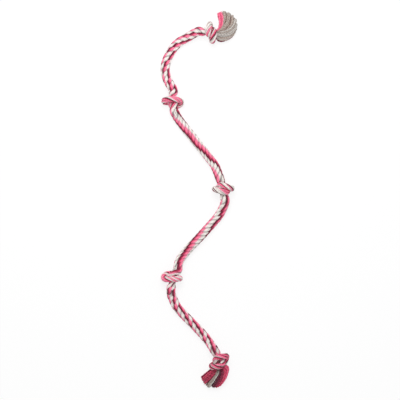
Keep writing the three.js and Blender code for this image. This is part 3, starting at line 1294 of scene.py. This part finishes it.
class Graph:
    """The nodes of one material or of the world."""

    def __init__(self, owner: bpy.types.Material | bpy.types.World) -> None:
        """Empties the owner's nodes.

        Args:
            owner: The material or the world.
        """
        owner.use_nodes = True
        self.tree = owner.node_tree
        self.tree.nodes.clear()

    def node(
        self,
        kind: str,
        settings: dict[str, object] | None = None,
        inputs: dict[str | int, object] | None = None,
        output: str | int = 0,
    ) -> Socket:
        """Adds a node.

        Args:
            kind: The node's type.
            settings: Its own settings, which are set first. "stops" are a stepped ramp's stops.
            inputs: What its sockets get, a number, a colour or another node's output.
            output: The output that is wanted.

        Returns:
            That output.
        """
        made = self.tree.nodes.new(kind)
        for name, value in (settings or {}).items():
            if name == "stops":
                self._set_stops(made.color_ramp, value)
            else:
                setattr(made, name, value)
        for name, value in (inputs or {}).items():
            if isinstance(value, Socket):
                self.tree.links.new(value.socket, made.inputs[name])
            else:
                made.inputs[name].default_value = value
        return Socket(self, made.outputs[output] if made.outputs else None)

    @staticmethod
    def _set_stops(ramp: bpy.types.ColorRamp, stops: Sequence[tuple[float, Colour]]) -> None:
        """Gives a ramp its stops, with a step at each.

        Args:
            ramp: The ramp.
            stops: The places of the stops and their colours.
        """
        ramp.interpolation = "CONSTANT"
        while len(ramp.elements) > 1:
            ramp.elements.remove(ramp.elements[-1])
        ramp.elements[0].position, ramp.elements[0].color = stops[0]
        for position, colour in stops[1:]:
            ramp.elements.new(position).color = colour

    def attribute(self, name: str, output: str = "Fac") -> Socket:
        """What the mesh holds under a name."""
        return self.node("ShaderNodeAttribute", {"attribute_name": name}, None, output)

    def noise(self, scale: float, detail: float, roughness: float) -> Socket:
        """Adds noise on Object coordinates.

        Args:
            scale: How fine it is.
            detail: How many finer layers it has.
            roughness: How much the finer layers count.

        Returns:
            The noise, about 0.5.
        """
        where = self.node("ShaderNodeTexCoord", None, None, "Object")
        inputs = {"Vector": where, "Scale": scale, "Detail": detail, "Roughness": roughness}
        return self.node("ShaderNodeTexNoise", None, inputs, 0)


@dataclass(frozen=True)
class YarnFinish:
    """Dyed cotton yarn: plied, a little fuzzy, and never quite even in colour.

    The fibres' and the mottle's noise each have a scale, a detail and a roughness.
    """

    roughness: float = 0.88
    specular: float = 0.2
    sheen: float = 0.35
    sheen_roughness: float = 0.45
    ply_pitch: float = 0.009
    ply_depth: float = 0.0005
    ply_start: float = 9.0
    ply_sharpness: int = 3
    fibre: tuple[float, float, float] = (900.0, 4.0, 0.7)
    fibre_depth: float = 0.00018
    mottle: tuple[float, float, float] = (160.0, 3.0, 0.6)
    mottle_share: float = 0.16
    tone_share: float = 0.10
    # Painted shade in the grooves between plies.
    ply_groove_shade: float = 0.14
    # Painted shade by the yarns' depth: grooves between strands, deep in a tassel's lock, near its
    # neck.
    painted_depth_shade: float = 0.66
    bump_strength: float = 0.8

    def material(self, name: str) -> bpy.types.Material:
        """Makes the material.

        Args:
            name: Its name.

        Returns:
            The material, which reads the yarns' dye, tone, depth and place.
        """
        material = bpy.data.materials.new(name)
        graph = Graph(material)
        groove = self._groove(graph)
        inputs = {
            "Base Color": self._colour(graph, groove),
            "Roughness": self.roughness,
            "Sheen Weight": self.sheen,
            "Sheen Roughness": self.sheen_roughness,
            "Specular IOR Level": self.specular,
            "Normal": self._normal(graph, groove),
        }
        shader = graph.node("ShaderNodeBsdfPrincipled", None, inputs, "BSDF")
        graph.node("ShaderNodeOutputMaterial", None, {"Surface": shader})
        return material

    def _groove(self, graph: Graph) -> Socket:
        """Finds the grooves between two plies, which wind round the yarn.

        Args:
            graph: The material's nodes.

        Returns:
            1 in a groove and 0 on a ply's crown.
        """
        place = graph.attribute("place", "Vector")
        parts = {axis: graph.node("ShaderNodeSeparateXYZ", None, {0: place}, axis) for axis in "XYZ"}
        start = graph.attribute("tone") * self.ply_start
        angle = parts["Z"] * (TURN / 2 / self.ply_pitch) + start
        wave = parts["X"] * angle.cosine() + parts["Y"] * angle.sine()
        return (1 - abs(wave)) ** self.ply_sharpness

    def _colour(self, graph: Graph, groove: Socket) -> Socket:
        """Makes the yarn's dye, with its tone and the mottle of the cotton, and paints shade into it
        in the grooves between plies and by the yarn's depth.

        Args:
            graph: The material's nodes.
            groove: How near a place lies to the groove between two plies.

        Returns:
            The colour.
        """
        stops = [(i / len(DYES), dye.linear()) for i, dye in enumerate(DYES)]
        inputs = {"Fac": graph.attribute("dye")}
        base = graph.node("ShaderNodeValToRGB", {"stops": stops}, inputs, "Color")
        mottle = (graph.noise(*self.mottle) - 0.5) * (2 * self.mottle_share)
        # Painted shade: darker in the grooves between plies, then by depth in the grooves between
        # strands, inside the tassels' locks and near their necks.
        light = 1 + graph.attribute("tone") * self.tone_share + mottle - groove * self.ply_groove_shade
        light = light * (1 - graph.attribute("depth") * self.painted_depth_shade)
        inputs = {0: base, "Scale": light}
        return graph.node("ShaderNodeVectorMath", {"operation": "SCALE"}, inputs, "Vector")

    def _normal(self, graph: Graph, groove: Socket) -> Socket:
        """Makes the relief of the grooves between the plies, and the fuzz of the fibres.

        Args:
            graph: The material's nodes.
            groove: How near a place lies to the groove between two plies.

        Returns:
            The normal.
        """
        height = graph.noise(*self.fibre) * (self.fibre_depth / self.ply_depth) - groove
        inputs = {"Strength": self.bump_strength, "Distance": self.ply_depth, "Height": height}
        return graph.node("ShaderNodeBump", None, inputs, "Normal")


@dataclass(frozen=True)
class StudioFinish:
    """The pale room: a white floor that keeps a soft shadow, and even light."""

    floor_size: float = 14.0
    floor_glow: float = 0.84
    floor_white: float = 0.98
    world_light: float = 0.56
    key_power: float = 61.0
    key_size: float = 1.8
    key_place: tuple[float, float, float] = (-0.15, 1.3, 2.8)

    def build(self) -> None:
        """Makes the floor, the world and the lamp."""
        self._floor()
        self._world()
        self._key()

    def _floor(self) -> None:
        """Makes the floor, which camera, glossy and transmission rays see as white."""
        work = bmesh.new()
        bmesh.ops.create_grid(work, x_segments=1, y_segments=1, size=self.floor_size / 2)
        mesh = bpy.data.meshes.new("floor")
        work.to_mesh(mesh)
        work.free()
        floor = bpy.data.objects.new("floor", mesh)
        bpy.context.scene.collection.objects.link(floor)
        material = bpy.data.materials.new("floor_white")
        graph = Graph(material)
        white = (self.floor_white, self.floor_white, self.floor_white, 1.0)
        matt = graph.node("ShaderNodeBsdfDiffuse", None, {"Color": white}, "BSDF")
        glow = graph.node("ShaderNodeEmission", None, {"Strength": 1.0}, "Emission")
        seen = self._seen(graph) * self.floor_glow
        mixed = graph.node("ShaderNodeMixShader", None, {0: seen, 1: matt, 2: glow}, "Shader")
        graph.node("ShaderNodeOutputMaterial", None, {"Surface": mixed})
        mesh.materials.append(material)

    @staticmethod
    def _seen(graph: Graph) -> Socket:
        """Tells the rays that see a background from light that bounces.

        Args:
            graph: The nodes of the floor or of the world.

        Returns:
            1 for camera, glossy and transmission rays, and 0 for the rest.
        """
        names = ("Is Camera Ray", "Is Glossy Ray", "Is Transmission Ray")
        camera, glossy, through = (
            graph.node("ShaderNodeLightPath", None, None, name) for name in names
        )
        inputs = {0: camera + glossy + through, 1: 1.0}
        return graph.node("ShaderNodeMath", {"operation": "MINIMUM"}, inputs, "Value")

    def _world(self) -> None:
        """Makes the world: even light on the object, and plain white behind it."""
        world = bpy.data.worlds.new("studio")
        bpy.context.scene.world = world
        graph = Graph(world)
        light = self._seen(graph) * (1 - self.world_light) + self.world_light
        inputs = {"Color": (1, 1, 1, 1), "Strength": light}
        back = graph.node("ShaderNodeBackground", None, inputs, 0)
        graph.node("ShaderNodeOutputWorld", None, {"Surface": back})

    def _key(self) -> None:
        """Hangs a large soft lamp above the upper left."""
        data = bpy.data.lights.new("key", "AREA")
        data.energy = self.key_power
        data.shape = "DISK"
        data.size = self.key_size
        lamp = bpy.data.objects.new("key", data)
        lamp.location = self.key_place
        lamp.rotation_mode = "QUATERNION"
        lamp.rotation_quaternion = (-Vector(self.key_place)).to_track_quat("-Z", "Y")
        bpy.context.scene.collection.objects.link(lamp)


@dataclass(frozen=True)
class Camera:
    """A long lens straight above the toy, with the photograph's frame."""

    pixels: int = 400
    metres_per_pixel: float = 0.004
    middle: Point2 = (0.004, 0.0)
    height: float = 6.0
    seen_height: float = 0.02
    sensor: float = 36.0

    def build(self) -> None:
        """Makes the camera and gives it to the scene."""
        data = bpy.data.cameras.new("camera")
        data.sensor_width = self.sensor
        width = self.pixels * self.metres_per_pixel
        data.lens = self.sensor * (self.height - self.seen_height) / width
        camera = bpy.data.objects.new("camera", data)
        camera.location = (*self.middle, self.height)
        bpy.context.scene.collection.objects.link(camera)
        bpy.context.scene.camera = camera


def main() -> None:
    """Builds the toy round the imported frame."""
    logging.basicConfig(level=logging.INFO)
    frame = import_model()
    LOG.info("the frame has %d nodes", len(frame["nodes"]))
    bpy.context.scene.view_settings.view_transform = "Standard"
    Camera().build()
    line = RopeLine()
    Rope(line, Strands(line)).build(YarnFinish())
    for tassel in (TOP_TASSEL, BOTTOM_TASSEL):
        tassel.build(YarnFinish())
    StudioFinish().build()


if __name__ == "__main__":
    main()
